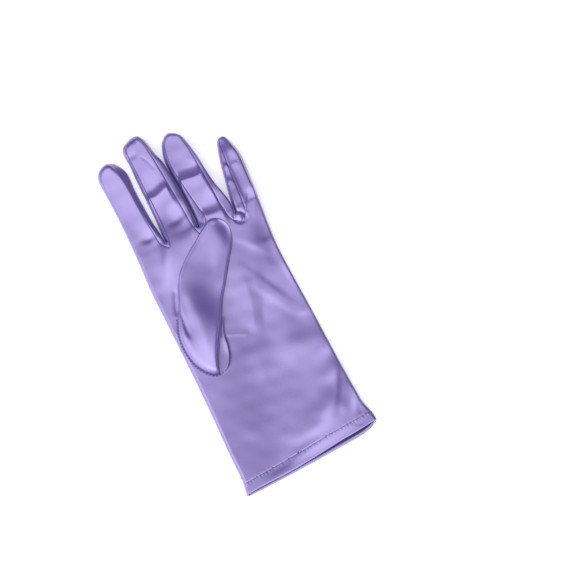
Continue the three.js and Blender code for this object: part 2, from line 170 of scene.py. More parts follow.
# Folds: a line along the crest, its lift, how far it falls away to the left and right of its
# run, the radius that the crest is rounded with, and the shares of the run that its two ends take
# to rise.
PALM_FOLDS = [
    {"line": [(-27.6, 69.6), (-22.5, 71.8), (-18.6, 76.8), (-16.4, 83.2), (-15.4, 89.6), (-13.4, 95.4),
              (-9, 101)],
     "lift": 0.55, "left": 2.2, "right": 1.0, "round": 0.3},
    # index finger
    {"line": [(-22.4, 157), (-23.8, 168), (-24.9, 182), (-25.3, 200), (-26.6, 210), (-28.6, 217),
              (-31.4, 224)],
     "lift": 2.8, "left": 15, "right": 4, "round": 0.7, "ends": (0.2, 0.03)},
    # middle finger
    {"line": [(-3.0, 157), (-3.2, 172), (-3.2, 190), (-3.2, 208), (-3.6, 218), (-4.6, 232)],
     "lift": 3.5, "left": 16, "right": 60, "round": 0.6, "ends": (0.28, 0.03)},
    {"line": [(-18, 187), (-13, 186), (-9, 186.6), (-6, 187.4), (-3.2, 187.4)],
     "lift": 1.5, "left": 5.4, "right": 16, "round": 0.5, "ends": (0.1, 0.06)},
    {"line": [(-9.4, 215), (-6.4, 208), (-4.9, 201)],
     "lift": -0.16, "left": 1.0, "right": 1.2, "round": 0.3},
    {"line": [(-17, 216.6), (-14, 217.4), (-10.5, 216.6)],
     "lift": -0.22, "left": 2.4, "right": 2.4, "round": 0.8},
    # ring finger
    {"line": [(19.4, 157), (19.0, 172), (18.8, 190), (18.9, 203), (17.8, 212), (15.6, 226)],
     "lift": 2.8, "left": 15, "right": 60, "round": 0.6, "ends": (0.28, 0.03)},
    {"line": [(4.2, 187.8), (9, 186.6), (14, 185.2), (19.2, 185.2)],
     "lift": 1.8, "left": 7.2, "right": 42, "round": 0.4, "ends": (0.08, 0.08)},
    {"line": [(6.2, 160.6), (9.6, 159.2), (13.5, 158.5), (19.4, 158.5)],
     "lift": 1.0, "left": 5.4, "right": 10, "round": 0.7, "ends": (0.1, 0.06)},
    # little finger
    {"line": [(41.4, 156), (42.8, 172), (43.4, 188), (42, 199.5)],
     "lift": 1.6, "left": 7, "right": 3, "round": 0.8},
    {"line": [(31.4, 156), (33.2, 170), (35.4, 185), (38, 200)],
     "lift": 0.75, "left": 5, "right": 2.6, "round": 0.5},
    {"line": [(31, 184.2), (33.3, 183.8), (35.4, 184.2)],
     "lift": 0.55, "left": 3, "right": 6, "round": 0.3},
    {"line": [(29.4, 174.2), (31.3, 173.8), (33.4, 174.2)],
     "lift": 0.4, "left": 2.8, "right": 6, "round": 0.4},
    {"line": [(36.8, 183.2), (39, 182.8), (41.2, 183.4)],
     "lift": 0.25, "left": 2.4, "right": 5, "round": 0.4},
    {"line": [(39, 164.5), (35.4, 157.6), (31, 150)],
     "lift": -0.3, "left": 1.1, "right": 1.1, "round": 0.3},
    # palm
    {"line": [(-34.6, 112), (-33, 117), (-30.6, 123), (-27.6, 129)],
     "lift": -0.4, "left": 1.8, "right": 1.6, "round": 0.4},
    {"line": [(10.5, 118), (10, 108), (7.5, 98), (4.5, 90), (1.5, 82)],
     "lift": 0.35, "left": 5, "right": 14, "round": 0.5},
    {"line": [(-15.6, 90.4), (-9, 87.6), (-1, 84)],
     "lift": 0.15, "left": 5, "right": 1.8, "round": 0.4},
]

# Soft dents and swells: an ellipse at (x, up), its half-length and half-width, the turn of its
# length from x, and how steeply the cloth in it leans up (or down, below 0) away from the window.
PALM_LEANS = [
    # index finger
    {"at": (-32.5, 195), "long": 24, "wide": 7.5, "turn": 90, "lean": 0.06},
    {"at": (-31, 173), "long": 7, "wide": 5, "turn": 90, "lean": 0.05},
    {"at": (-29.8, 162.8), "long": 4.6, "wide": 2.3, "turn": -8, "lean": -0.32},
    {"at": (-35, 150), "long": 7, "wide": 4, "turn": 60, "lean": -0.03},
    # middle finger
    {"at": (-9, 156), "long": 9, "wide": 4.5, "turn": 8, "lean": -0.08},
    {"at": (-10.5, 164.5), "long": 4.5, "wide": 2.8, "turn": 0, "lean": -0.26},
    {"at": (-12, 203), "long": 9, "wide": 3, "turn": 88, "lean": 0.1},
    {"at": (0.2, 160), "long": 3.5, "wide": 0.6, "turn": 90, "lean": -0.4},
    # ring finger
    {"at": (3.7, 156.6), "long": 2.6, "wide": 0.6, "turn": -55, "lean": -0.5},
    {"at": (12, 202), "long": 9, "wide": 5, "turn": 88, "lean": 0.05},
    {"at": (16.6, 195.5), "long": 4, "wide": 1.5, "turn": 115, "lean": 0.12},
    {"at": (15.2, 174.5), "long": 6, "wide": 2.8, "turn": 70, "lean": 0.04},
    {"at": (9.5, 168), "long": 3, "wide": 2.4, "turn": 0, "lean": 0.07},
    {"at": (13, 157.2), "long": 6, "wide": 1.2, "turn": -24, "lean": 0.12},
    # little finger
    {"at": (36.5, 153), "long": 9, "wide": 2.4, "turn": 64, "lean": 0.08},
    {"at": (38, 176), "long": 18, "wide": 6, "turn": 78, "lean": 0.07},
    # upper palm
    {"at": (4, 122), "long": 34, "wide": 28, "turn": 60, "lean": 0.062},
    {"at": (2, 147), "long": 46, "wide": 9, "turn": 0, "lean": 0.085},
    {"at": (-27.6, 142), "long": 14, "wide": 4.5, "turn": 68, "lean": 0.22},
    {"at": (33, 132), "long": 5, "wide": 2.6, "turn": -4, "lean": -0.17},
    {"at": (24, 131), "long": 9, "wide": 2, "turn": -52, "lean": 0.12},
    {"at": (31, 118), "long": 5, "wide": 3.4, "turn": -70, "lean": -0.09},
    {"at": (36, 107), "long": 9, "wide": 1.8, "turn": 92, "lean": 0.1},
    {"at": (15, 122), "long": 6, "wide": 2, "turn": -62, "lean": -0.05},
    {"at": (24.5, 104), "long": 15, "wide": 1.9, "turn": -64, "lean": -0.12},
    {"at": (20, 97.5), "long": 15, "wide": 2.1, "turn": -61, "lean": 0.1},
    {"at": (33, 81), "long": 3.5, "wide": 2, "turn": -20, "lean": 0.1},
    {"at": (0, 98), "long": 10, "wide": 7, "turn": 55, "lean": 0.03},
    {"at": (10, 90), "long": 9, "wide": 3, "turn": 70, "lean": -0.07},
    # lower palm
    {"at": (-22, 32), "long": 42, "wide": 26, "turn": 75, "lean": -0.1},
    {"at": (28, 70), "long": 11, "wide": 8, "turn": -20, "lean": -0.12},
    {"at": (-2, 77), "long": 12, "wide": 5, "turn": 0, "lean": -0.06},
    {"at": (-7, 61), "long": 7, "wide": 4, "turn": 90, "lean": 0.04},
    {"at": (13, 62), "long": 7, "wide": 6, "turn": 10, "lean": 0.07},
    {"at": (33, 54.5), "long": 4, "wide": 4, "turn": 0, "lean": 0.14},
    {"at": (33, 47), "long": 2.6, "wide": 1.8, "turn": -30, "lean": -0.03},
    {"at": (28, 38.5), "long": 8, "wide": 6, "turn": 20, "lean": 0.12},
    {"at": (26, 24), "long": 9, "wide": 2.6, "turn": 52, "lean": -0.1},
    {"at": (16, 21), "long": 8, "wide": 5.5, "turn": 40, "lean": 0.12},
    {"at": (33.5, 19), "long": 7, "wide": 2.4, "turn": 60, "lean": 0.15},
    {"at": (34, 12.5), "long": 3.5, "wide": 1.8, "turn": 10, "lean": -0.1},
    {"at": (-28, 28), "long": 8, "wide": 5.5, "turn": -20, "lean": 0.05},
    {"at": (-12, 18), "long": 10, "wide": 4, "turn": -30, "lean": 0.05},
    {"at": (5, 14), "long": 12, "wide": 3, "turn": 0, "lean": 0.14},
    {"at": (5, 28), "long": 9, "wide": 5, "turn": 0, "lean": -0.03},
    {"at": (18, 16), "long": 18, "wide": 7, "turn": 10, "lean": 0.06},
    # hem
    {"at": (-23, 4.2), "long": 8, "wide": 1.8, "turn": 5, "lean": -0.13},
    {"at": (2, 5.2), "long": 14, "wide": 2, "turn": 3, "lean": 0.2},
    {"at": (20, 7.4), "long": 13, "wide": 2.2, "turn": 5, "lean": 0.1},
    {"at": (28, 7), "long": 5, "wide": 1.0, "turn": -25, "lean": -0.08},
]
WINDOW_RUN = (0.74, 0.67)  # across the glove, away from the window
LEAN_FAN = 0.7  # how fast a dent's far side widens
LEAN_ENDS = 10  # a dent's drop levels out again over this many times its size
CREASE = 0.45  # folds rounded less than this get points of their own along the crest

# The thumb's edge seen from above. The sewn stretch runs from its foot to below the corner.
THUMB_RIGHT = [
    (7.6, 156), (11, 155.9), (14.8, 153.7), (17.5, 149.6), (17.3, 143.6), (15.2, 138.2),
    (9.0, 129.6), (0.5, 117.9), (-6.2, 108.7), (-11.9, 98.5), (-16.3, 91.6), (-20.7, 84.3),
    (-24.6, 77.6), (-27.6, 70.2),
]
THUMB_SEWN = [
    (-27.6, 70.2), (-30.6, 70.7), (-34.4, 74), (-37.8, 79.8), (-39.7, 89), (-38.9, 100.4),
    (-35.2, 110.2),
]
THUMB_POCKET = [(-15.6, 88), (-16.4, 83.2), (-18.6, 76.8), (-22.5, 71.8), (-27.6, 70.2)]
THUMB_LEFT = [(-35.2, 110.2), (-30.9, 117.6), (-26.2, 128.0), (-22.3, 134.3)]
THUMB_TOP = [(-22.3, 134.3), (-13.4, 141.9), (-0.5, 150.8), (7.6, 156)]
THUMB_FOLDS = [
    {"line": [(-30.2, 119), (-31.6, 114), (-33, 106), (-34.2, 95)],
     "lift": -0.5, "left": 1.4, "right": 1.6, "round": 0.4},
]
THUMB_LEANS = [
    {"at": (-17.4, 109), "long": 16, "wide": 9.4, "turn": 96, "lean": -0.23},
    {"at": (-27.6, 101), "long": 26, "wide": 3.0, "turn": 84, "lean": 0.24},
    {"at": (-31.5, 83), "long": 9, "wide": 5, "turn": 100, "lean": 0.12},
    {"at": (-33.4, 101.5), "long": 8, "wide": 1.0, "turn": 84, "lean": -0.25},
    {"at": (13, 149), "long": 8, "wide": 4.5, "turn": 80, "lean": -0.26},
    {"at": (12.6, 141), "long": 8, "wide": 3.0, "turn": 62, "lean": -0.14},
    {"at": (-6, 128), "long": 5, "wide": 4, "turn": 0, "lean": -0.04},
    {"at": (-5, 118), "long": 7, "wide": 3, "turn": 55, "lean": 0.06},
    {"at": (0, 142), "long": 7, "wide": 4, "turn": 30, "lean": 0.04},
]
THUMB_ROUNDING = [
    {"at": (7.6, 156), "reach": 2.6}, {"at": (14.8, 153.7), "reach": 3.4},
    {"at": (17.5, 147), "reach": 3.4}, {"at": (15.2, 138.2), "reach": 3.6},
    {"at": (9.0, 129.6), "reach": 2.8}, {"at": (0.5, 117.9), "reach": 1.7},
    {"at": (-9, 104), "reach": 1.6}, {"at": (-12, 98.5), "reach": 1.6},
    {"at": (-14.5, 94.8), "reach": 2.3}, {"at": (-20.7, 84.3), "reach": 2.4},
    {"at": (-26.6, 73), "reach": 1.6}, {"at": (-30.6, 70.7), "reach": 3.0},
    {"at": (-37.8, 79.8), "reach": 5.5}, {"at": (-39.6, 92), "reach": 4.5},
    {"at": (-35.2, 110.2), "reach": 2.6}, {"at": (-30.9, 117.6), "reach": 1.4},
    {"at": (-22.6, 134), "reach": 1.1}, {"at": (-13.4, 141.9), "reach": 1.2},
    {"at": (-0.5, 150.8), "reach": 1.6}, {"at": (6.5, 155.3), "reach": 2.4},
]
THUMB_LEVELS = [(68, 3.8), (84, 5.0), (106, 5.6), (132, 5.5), (158, 7.8)]
THUMB_FREE_EDGE = 0.8  # height of its loose edge over the palm


def smooth_line(points, step=STEP):
    """A smooth curve through the points, with points of its own at an even step."""
    p = np.array(points, float)
    if len(p) > 2:
        padded = np.vstack([2 * p[0] - p[1], p, 2 * p[-1] - p[-2]])
        made = [p[:1]]
        for a, b, c, d in zip(padded, padded[1:], padded[2:], padded[3:]):
            t0 = 0.0
            t1 = t0 + np.linalg.norm(b - a) ** 0.5
            t2 = t1 + np.linalg.norm(c - b) ** 0.5
            t3 = t2 + np.linalg.norm(d - c) ** 0.5
            t = np.linspace(t1, t2, 13)[1:, None]
            ab = ((t1 - t) * a + (t - t0) * b) / (t1 - t0)
            bc = ((t2 - t) * b + (t - t1) * c) / (t2 - t1)
            cd = ((t3 - t) * c + (t - t2) * d) / (t3 - t2)
            abc = ((t2 - t) * ab + (t - t0) * bc) / (t2 - t0)
            bcd = ((t3 - t) * bc + (t - t1) * cd) / (t3 - t1)
            made.append(((t2 - t) * abc + (t - t1) * bcd) / (t2 - t1))
        p = np.vstack(made)
    length = np.concatenate([[0], np.cumsum(np.linalg.norm(np.diff(p, axis=0), axis=1))])
    at = np.linspace(0, length[-1], max(2, int(round(length[-1] / step)) + 1))
    return np.column_stack([np.interp(at, length, p[:, k]) for k in range(p.shape[1])])


def join_lines(*lines):
    """Lines that start where the one before ends, as one line."""
    return np.vstack([lines[0], *[line[1:] for line in lines[1:]]])


def nearest(points, line, chunk=3000):
    """Each point's distance from a line, its side (1 to the left of the run) and the run's share."""
    a, b = line[:-1], line[1:]
    run = b - a
    length = np.maximum((run**2).sum(1), 1e-12)
    start = np.concatenate([[0], np.cumsum(np.sqrt(length))])
    distance, side, share = (np.empty(len(points)) for _ in range(3))
    for k in range(0, len(points), chunk):
        away = points[k : k + chunk, None, :] - a[None]
        t = np.clip((away * run).sum(2) / length, 0, 1)
        gap = away - t[..., None] * run
        square = (gap**2).sum(2)
        best = square.argmin(1)
        row = np.arange(len(best))
        cross = run[best, 0] * away[row, best, 1] - run[best, 1] * away[row, best, 0]
        distance[k : k + chunk] = np.sqrt(square[row, best])
        side[k : k + chunk] = np.where(cross >= 0, 1, -1)
        share[k : k + chunk] = (start[best] + t[row, best] * np.sqrt(length[best])) / start[-1]
    return distance, side, share


def inside(points, polygon):
    """Whether each point lies inside a closed polygon."""
    x, y = points[:, 0:1], points[:, 1:2]
    x1, y1 = polygon[:, 0], polygon[:, 1]
    x2, y2 = np.roll(x1, -1), np.roll(y1, -1)
    crosses = (y1 <= y) != (y2 <= y)
    at = x1 + (y - y1) / np.where(y2 == y1, 1e-12, y2 - y1) * (x2 - x1)
    return (crosses & (x < at)).sum(1) % 2 == 1


def smoothstep(low, high, value):
    """A soft step from 0 at low to 1 at high."""
    t = np.clip((value - low) / (high - low), 0, 1)
    return t * t * (3 - 2 * t)


def rounded(distance, reach):
    """The quarter-round rise of cloth in from a turned edge: 0 at the edge, 1 past its reach."""
    power = 2.1  # 2 is a round corner
    t = np.clip(distance / reach, 0, 1)
    return (1 - (1 - t) ** power) ** (1 / power)


def table_line(rows, x):
    """A smooth value at x from rows of (x, value)."""
    at, value = smooth_line(rows, 0.5).T
    return np.interp(x, at, value)


def finger_of(points):
    """The finger each point is on, 1 to 4 from the index finger, and 0 for the palm."""
    _, _, share = nearest(points, EDGE)
    return np.where(points[:, 1] > FINGER_START, 1 + np.searchsorted(FINGER_ENDS, share), 0)


def fold_height(points, folds, finger):
    """The height that a table of folds adds at each point; a finger's own stay on it."""
    total = np.zeros(len(points))
    home = finger_of(np.array([fold["line"][len(fold["line"]) // 2] for fold in folds], float))
    for fold, own in zip(folds, home):
        line = smooth_line(fold["line"], 2.0)
        room = max(fold["left"], fold["right"]) + 1
        close = np.all((points > line.min(0) - room) & (points < line.max(0) + room), axis=1)
        close &= (own == 0) | (finger == 0) | (finger == own)
        distance, side, share = nearest(points[close], line)
        away = np.sqrt(distance**2 + fold["round"] ** 2) - fold["round"]
        fall = 1 - away / np.where(side > 0, fold["left"], fold["right"])
        first, last = fold.get("ends", (0.2, 0.2))
        ends = smoothstep(0, first, share) * smoothstep(0, last, 1 - share)
        total[close] += fold["lift"] * ends * np.maximum(fall, 0) ** 1.5
    return total


def lean_height(points, leans, finger):
    """The height that a table of soft dents and swells adds; a finger's own stay on it."""
    run = np.array(WINDOW_RUN) / np.linalg.norm(WINDOW_RUN)
    total = np.zeros(len(points))
    home = finger_of(np.array([row["at"] for row in leans], float))
    for row, own in zip(leans, home):
        away = points - np.array(row["at"], float)
        along = away @ run
        across = away @ np.array([-run[1], run[0]])
        angle = math.radians(row["turn"]) - math.atan2(run[1], run[0])
        cos, sin = math.cos(angle), math.sin(angle)
        tight, loose = 1 / row["long"] ** 2, 1 / row["wide"] ** 2
        steep = cos * cos * tight + sin * sin * loose
        skew = cos * sin * (tight - loose) / steep
        breadth = sin * sin * tight + cos * cos * loose - skew * skew * steep
        reach = along + skew * across
        rise = row["lean"] * (math.pi / steep) ** 0.5 / 2 * (1 + np.tanh(1.2 * steep**0.5 * reach))
        ends = LEAN_ENDS * (row["long"] * row["wide"]) ** 0.5
        past = np.maximum(reach, 0)
        fan = 1 + LEAN_FAN**2 * breadth * past**2
        shape = rise * np.exp(-breadth * across**2 / fan - past / ends)
        total += np.where((own == 0) | (finger == 0) | (finger == own), shape, 0)
    return total


def ripple(points, length, seed):
    """Gentle, even waviness from a few crossing waves, between about -1 and 1."""
    rng = np.random.default_rng(seed)
    total = np.zeros(len(points))
    for _ in range(7):
        angle = rng.uniform(0, math.pi)
        wave = length * rng.uniform(0.75, 1.5)
        along = points @ np.array([math.cos(angle), math.sin(angle)])
        total += np.sin(2 * math.pi * along / wave + rng.uniform(0, 2 * math.pi))
    return total / 3.5


def seam_dip(points, line, depth, width):
    """A sewn line's groove."""
    distance, _, _ = nearest(points, line)
    return -depth * np.exp(-((distance / width) ** 2))


EDGE = join_lines(*[smooth_line(run) for run in (INDEX_SIDE, MIDDLE_SIDE, RING_SIDE, LITTLE_SIDE)])
CROTCHES = np.array([MIDDLE_SIDE[0], RING_SIDE[0], LITTLE_SIDE[0]], float)
KNOT_X, KNOT_UP, KNOT_RADIUS = 26.4, 150.4, 2.6  # where the ring and little fingers' seams end


def seam_lines(rows):
    """A fourchette's left and right seam lines."""
    left = smooth_line([(row["left"], row["up"]) for row in rows])
    right = smooth_line([(row["right"], row["up"]) for row in rows])
    return left, right


SEAMS = {name: seam_lines(rows) for name, rows in FOURCHETTES.items()}
HEM_SEAM = smooth_line(HEM_LINE)
CREASES = [smooth_line(fold["line"]) for fold in PALM_FOLDS if fold["round"] < CREASE]
RISE_CURVE = smooth_line([(up, RISE_DRAWN * share) for up, share in PALM_RISE], 0.5).T
FINGER_ENDS = nearest(CROTCHES, EDGE)[2]
ROUNDING_AT = nearest(np.array([row["at"] for row in ROUNDING], float), EDGE)[2]


def edge_reach(share):
    """How far in from the glove's edge its cloth is rounded, at a share of the edge's run."""
    return np.interp(share, ROUNDING_AT, [row["reach"] for row in ROUNDING])


def palm_level(x, up):
    """The upper cloth's plain level, without its folds and rounded edges."""
    cuff = table_line(CUFF_LEVELS, x)
    hand = cuff + (PALM_LEVEL - cuff) * np.interp(up, *RISE_CURVE) / RISE_DRAWN
    return hand + (FINGER_LEVEL - PALM_LEVEL) * smoothstep(*LEVEL_CHANGE, up)


def palm_shape(points):
    """The folds, dents and waves of the upper cloth."""
    finger = finger_of(points)
    shape = fold_height(points, PALM_FOLDS, finger) + lean_height(points, PALM_LEANS, finger)
    return shape + 0.06 * ripple(points, 30, 3) + 0.04 * ripple(points, 11, 8)


def palm_height(points):
    """The height of the upper cloth over the table."""
    x, up = points.T
    distance, _, share = nearest(points, EDGE)
    level = palm_level(x, up)
    shape = palm_shape(points)
    thumb = thumb_edge()
    under = inside(points, thumb)
    depth, _, _ = nearest(points[under], thumb)
    shape[under] -= (shape[under] + THUMB_PRESS) * smoothstep(1.5, 6, depth)
    for line in (line for pair in SEAMS.values() for line in pair):
        shape += seam_dip(points, line, 0.2, 0.4)
    shape += seam_dip(points, HEM_SEAM, 0.05, 0.5)
    shape += pucker(points)
    away = np.hypot(x - KNOT_X, up - KNOT_UP) / KNOT_RADIUS
    shape += (0.6 + 0.35 * ripple(points, 2.4, 4)) * np.exp(-(away**2))
    shape -= 0.7 * np.exp(-(((away - 1.3) / 0.35) ** 2))  # the dip round the knot
    return SIDE_LEVEL + (level + shape - SIDE_LEVEL) * rounded(distance, edge_reach(share))


def pucker(points):
    """The small gathers that the hem's stitching draws up."""
    distance, _, share = nearest(points, HEM_SEAM)
    along = share * STITCH_RUN
    drawn = np.sin(2 * math.pi * along / 1.9) * (1 + 0.5 * np.sin(2 * math.pi * along / 13.0))
    drawn += 0.6 * np.sin(2 * math.pi * along / 3.3 + 1.0)
    return GATHER * drawn * np.exp(-((distance / GATHER_WIDTH) ** 2))


def back_height(points):
    """The height of the lower cloth, which lies flat on the table but for its turned edges."""
    distance, _, _ = nearest(points, EDGE)
    return BACK_LEVEL + (SIDE_LEVEL - BACK_LEVEL) * (1 - rounded(distance, 3.4))


def cut_cloth(outline, seams=(), grain=GRAIN):
    """Points and triangles that fill an outline, finer in rows along its edge and its seams."""
    points, cells = [], {}

    def place(x, y, room):
        """The number of a new point, or of one that already lies within its room."""
        cell = (int(math.floor(x / GRAIN)), int(math.floor(y / GRAIN)))
        for i in (-1, 0, 1):
            for j in (-1, 0, 1):
                for q in cells.get((cell[0] + i, cell[1] + j), ()):
                    if (points[q][0] - x) ** 2 + (points[q][1] - y) ** 2 < room * room:
                        return q
        cells.setdefault(cell, []).append(len(points))
        points.append((x, y))
        return len(points) - 1

    ring = [place(x, y, 0.02) for x, y in outline]
    edges = [(a, b) for a, b in zip(ring, ring[1:] + ring[:1]) if a != b]
    for line in seams:
        kept = [place(x, y, 0.1) for x, y in line[inside(line, outline)]]
        edges += [(a, b) for a, b in zip(kept, kept[1:]) if a != b]
    closed = np.vstack([outline, outline[:1]])

    def row_points(line, offset):
        """A line moved sideways, to its left where the offset is above 0."""
        run = np.gradient(line, axis=0)
        run /= np.maximum(np.linalg.norm(run, axis=1), 1e-9)[:, None]
        return line + offset * np.column_stack([-run[:, 1], run[:, 0]])

    wanted = []
    for offset in EDGE_ROWS:
        for sign in (-1, 1):
            made = row_points(closed, sign * offset)
            made = made[inside(made, outline)]
            distance, _, _ = nearest(made, closed)
            wanted += [(p, 0.55 * min(STEP, 0.25 + offset)) for p in made[distance > 0.9 * offset]]
    for line in seams:
        for offset in SEAM_ROWS:
            for sign in (1, -1):
                made = row_points(line, sign * offset)
                wanted += [(p, 0.3) for p in made[inside(made, outline)]]
    low, high = outline.min(0), outline.max(0)
    count = int((high[1] - low[1]) / (grain * ROW_PITCH))
    for j in range(count):
        y = low[1] + (j + 0.5) * grain * ROW_PITCH
        xs = np.arange(low[0] + (j % 2) * grain / 2, high[0], grain)
        wanted += [(np.array([x, y]), 0.62 * grain) for x in xs]
    spots = np.array([p for p, _ in wanted])
    keep = inside(spots, outline)
    distance, _, _ = nearest(spots, closed)
    for (p, room), ok, gap in zip(wanted, keep, distance):
        if ok and gap > 0.05:
            place(p[0], p[1], room)
    verts, _, faces, *_ = delaunay_2d_cdt([Vector(p) for p in points], edges, [], 0, 1e-5)
    made = np.array([tuple(v) for v in verts])
    faces = np.array([f for f in faces if len(f) == 3])
    faces = faces[inside(made[faces].mean(1), outline)]
    a, b, c = (made[faces[:, k]] for k in range(3))
    turn = (b - a)[:, 0] * (c - a)[:, 1] - (b - a)[:, 1] * (c - a)[:, 0]
    faces[turn < 0] = faces[turn < 0][:, ::-1]
    return made, faces[np.abs(turn) > 1e-7]


def to_frame(points):
    """Glove millimetres (x, up, height) as the frame's metres."""
    return np.column_stack([points[:, 0] * MM, points[:, 1] * MM + CUFF_Y, points[:, 2] * MM])


def make_piece(name, points, faces, material):
    """A mesh object from glove millimetres, smooth, with its cloth's flat measure as UVs."""
    used, faces = np.unique(faces, return_inverse=True)
    faces = faces.reshape(-1, 3)
    points = points[used]
    mesh = bpy.data.meshes.new(name)
    mesh.from_pydata(to_frame(points).tolist(), [], faces.tolist())
    flat = points[:, :2] * 0.01
    layer = mesh.uv_layers.new(name="cloth")
    layer.data.foreach_set("uv", flat[faces.ravel()].ravel())
    mesh.polygons.foreach_set("use_smooth", [True] * len(mesh.polygons))
    mesh.materials.append(material)
    mesh.validate()
    piece = bpy.data.objects.new(name, mesh)
    bpy.context.scene.collection.objects.link(piece)
    return piece


def give_thickness(piece):
    """The cloth's own thickness, on the inside of the shape."""
    solid = piece.modifiers.new("cloth", "SOLIDIFY")
    solid.thickness = CLOTH * MM
    solid.offset = -1
    return piece


def hem_up(x):
    """How far up the hem's stitching is."""
    return table_line(HEM_LINE, x)


def hand_outline():
    """The glove's outline from the hem's stitching up, closed along it."""
    start = np.argmax(EDGE[:, 1] > hem_up(EDGE[:, 0]))
    body = EDGE[start:]
    end = len(body) - np.argmax(body[::-1, 1] > hem_up(body[::-1, 0]))
    body = body[:end]
    left, right = body[0], body[-1]
    across = np.arange(right[0] - STEP, left[0], -STEP)
    return np.vstack([body, np.column_stack([across, hem_up(across)])])


def set_input(node, name, value):
    """Sets a constant on a node's own socket."""
    node.inputs[name].default_value = value


def link(tree, source, output, target, name):
    """Joins one node's output to another's input."""
    tree.links.new(source.outputs[output], target.inputs[name])


def weave_group():
    """Satin's fine ribs and floats, as a height, and a slow change of tone over the cloth."""
    tree = bpy.data.node_groups.new("satin_weave", "ShaderNodeTree")
    for name, value in (("Threads", 1400.0), ("Strength", 0.12), ("Tone", 0.08)):
        socket = tree.interface.new_socket(name, in_out="INPUT", socket_type="NodeSocketFloat")
        socket.default_value = value
    tree.interface.new_socket("Normal", in_out="OUTPUT", socket_type="NodeSocketVector")
    tree.interface.new_socket("Shade", in_out="OUTPUT", socket_type="NodeSocketFloat")
    tree.interface.new_socket("Gloss", in_out="OUTPUT", socket_type="NodeSocketFloat")
    given = tree.nodes.new("NodeGroupInput")
    made = tree.nodes.new("NodeGroupOutput")
    uv = tree.nodes.new("ShaderNodeUVMap")
    uv.uv_map = "cloth"
    stretch = tree.nodes.new("ShaderNodeMapping")
    set_input(stretch, "Scale", (1.0, 0.22, 1.0))
    link(tree, uv, "UV", stretch, "Vector")
    floats = tree.nodes.new("ShaderNodeTexNoise")
    link(tree, stretch, "Vector", floats, "Vector")
    link(tree, given, "Threads", floats, "Scale")
    set_input(floats, "Detail", 2.0)
    bump = tree.nodes.new("ShaderNodeBump")
    set_input(bump, "Distance", 0.0002)
    link(tree, given, "Strength", bump, "Strength")
    link(tree, floats, "Fac", bump, "Height")
    link(tree, bump, "Normal", made, "Normal")
    where = tree.nodes.new("ShaderNodeTexCoord")
    slow = tree.nodes.new("ShaderNodeTexNoise")
    link(tree, where, "Object", slow, "Vector")
    set_input(slow, "Scale", 38.0)
    set_input(slow, "Detail", 3.0)
    spread = tree.nodes.new("ShaderNodeMapRange")
    link(tree, slow, "Fac", spread, "Value")
    set_input(spread, "To Min", -1.0)
    set_input(spread, "To Max", 1.0)
    tone = tree.nodes.new("ShaderNodeMath")
    tone.operation = "MULTIPLY_ADD"
    link(tree, spread, "Result", tone, 0)
    link(tree, given, "Tone", tone, 1)
    tone.inputs[2].default_value = 1.0
    link(tree, tone, "Value", made, "Shade")
    gloss = tree.nodes.new("ShaderNodeMapRange")
    link(tree, floats, "Fac", gloss, "Value")
    set_input(gloss, "To Min", 0.9)
    set_input(gloss, "To Max", 1.1)
    link(tree, gloss, "Result", made, "Gloss")
    return tree


def satin(name, color, weave, metallic=0.3, roughness=0.27, tone=0.06):
    """Lilac stretch satin: coloured, broad reflections over a deeper body colour."""
    material = bpy.data.materials.new(name)
    material.use_nodes = True
    tree = material.node_tree
    shader = tree.nodes["Principled BSDF"]
    group = tree.nodes.new("ShaderNodeGroup")
    group.node_tree = weave
    set_input(group, "Tone", tone)
    shade = tree.nodes.new("ShaderNodeVectorMath")
    shade.operation = "SCALE"
    shade.inputs[0].default_value = color
    link(tree, group, "Shade", shade, "Scale")
    link(tree, shade, "Vector", shader, "Base Color")
    rough = tree.nodes.new("ShaderNodeMath")
    rough.operation = "MULTIPLY"
    link(tree, group, "Gloss", rough, 0)
    rough.inputs[1].default_value = roughness
    link(tree, rough, "Value", shader, "Roughness")
    link(tree, group, "Normal", shader, "Normal")
    set_input(shader, "Metallic", metallic)
    set_input(shader, "IOR", 2.1)
    set_input(shader, "Specular IOR Level", 0.9)
    set_input(shader, "Specular Tint", (1.0, 0.96, 1.0, 1.0))
    set_input(shader, "Sheen Weight", 0.04)
    set_input(shader, "Sheen Roughness", 0.4)
    set_input(shader, "Sheen Tint", (0.80, 0.74, 1.0, 1.0))
    return material


def thread_material(name, low, high):
    """Sewing thread, whose two colours change along its twist."""
    material = bpy.data.materials.new(name)
    material.use_nodes = True
    tree = material.node_tree
    shader = tree.nodes["Principled BSDF"]
    where = tree.nodes.new("ShaderNodeTexCoord")
    twist = tree.nodes.new("ShaderNodeTexNoise")
    link(tree, where, "Object", twist, "Vector")
    set_input(twist, "Scale", 3000.0)
    ramp = tree.nodes.new("ShaderNodeValToRGB")
    ramp.color_ramp.elements[0].color = (*low, 1)
    ramp.color_ramp.elements[1].color = (*high, 1)
    link(tree, twist, "Fac", ramp, "Fac")
    link(tree, ramp, "Color", shader, "Base Color")
    set_input(shader, "Roughness", 0.5)
    return material


def floor_material():
    """A plain pale surface."""
    material = bpy.data.materials.new("pale_table")
    material.use_nodes = True
    shader = material.node_tree.nodes["Principled BSDF"]
    set_input(shader, "Base Color", (0.9, 0.9, 0.9, 1))
    set_input(shader, "Roughness", 0.9)
    set_input(shader, "Specular IOR Level", 0.1)
    set_input(shader, "Emission Color", (1, 1, 1, 1))
    set_input(shader, "Emission Strength", 0.3)
    return material


